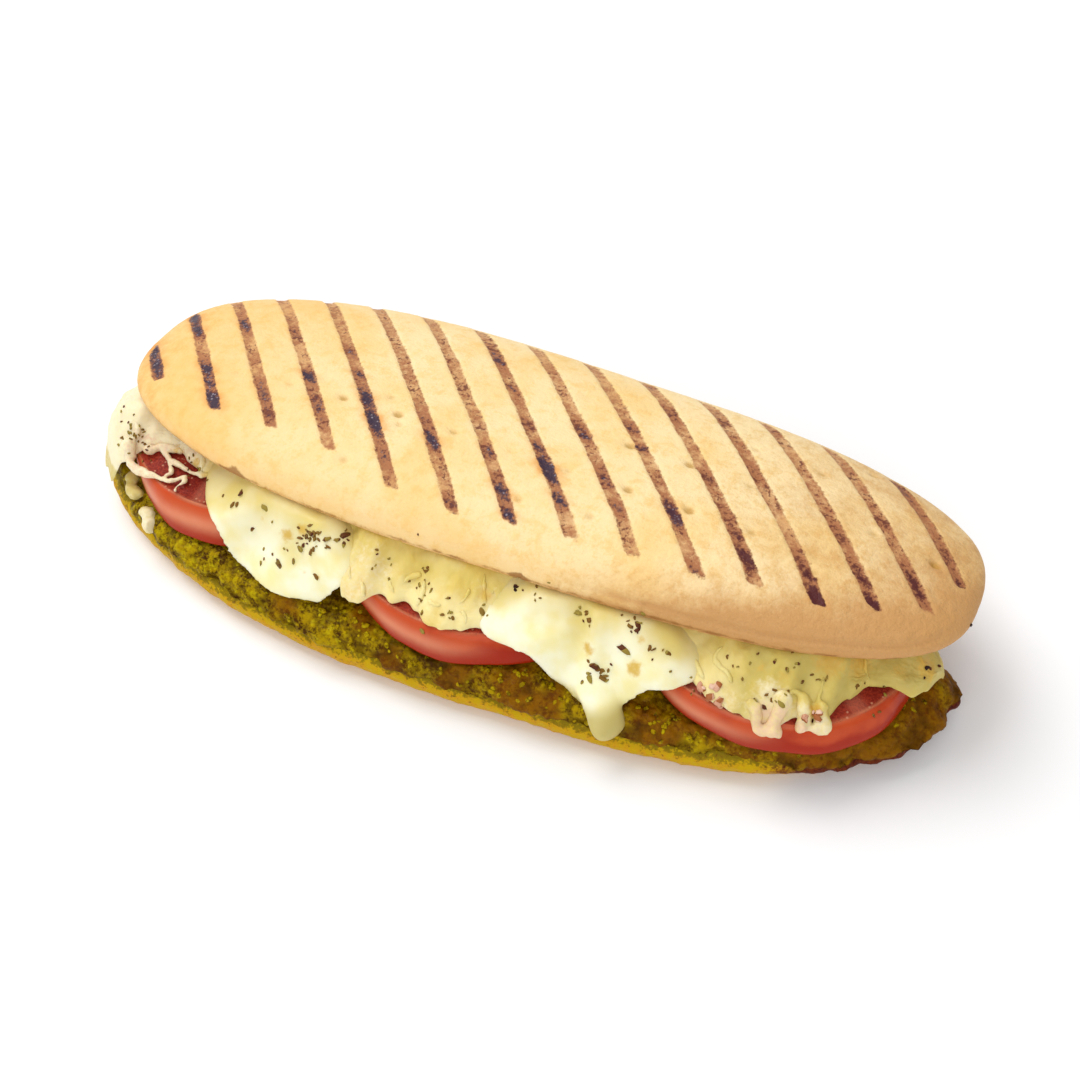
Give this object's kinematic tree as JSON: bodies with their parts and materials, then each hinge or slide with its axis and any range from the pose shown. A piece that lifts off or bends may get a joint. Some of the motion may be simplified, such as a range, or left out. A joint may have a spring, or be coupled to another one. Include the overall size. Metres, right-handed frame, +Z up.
{
  "type": "panini",
  "caption": "Long grilled panini: a ridge-marked bread lid over melted cheese, mozzarella, tomato slices and pesto, on a flat-based bread half",
  "frame": {"origin": "centre of the bounding box, on the plane that the flat base rests on", "axes": "+X along the bread, +Y from the open front to the back, +Z up"},
  "size_m": [0.256, 0.1078, 0.0501],
  "materials": {
    "crust_gold": "smooth matte golden crust with brown grill marks",
    "crust_oiled": "oil-soaked yellow crust, browned at its right end",
    "pesto_green": "coarse oily olive-green paste",
    "tomato_red": "wet red slice with a glossy skin",
    "cheese_cream": "melted grated cheese, lumpy, with herb flakes",
    "mozzarella_white": "smooth glossy melted slice, cream white"
  },
  "bodies": {
    "root": {"bread_bottom": "crust_oiled", "pesto": "pesto_green", "tomato_slice_1": "tomato_red", "tomato_slice_2": "tomato_red", "tomato_slice_3": "tomato_red", "grated_cheese": "cheese_cream", "mozzarella_slice_1": "mozzarella_white", "mozzarella_slice_2": "mozzarella_white", "bread_top": "crust_gold"}
  },
  "joints": []
}
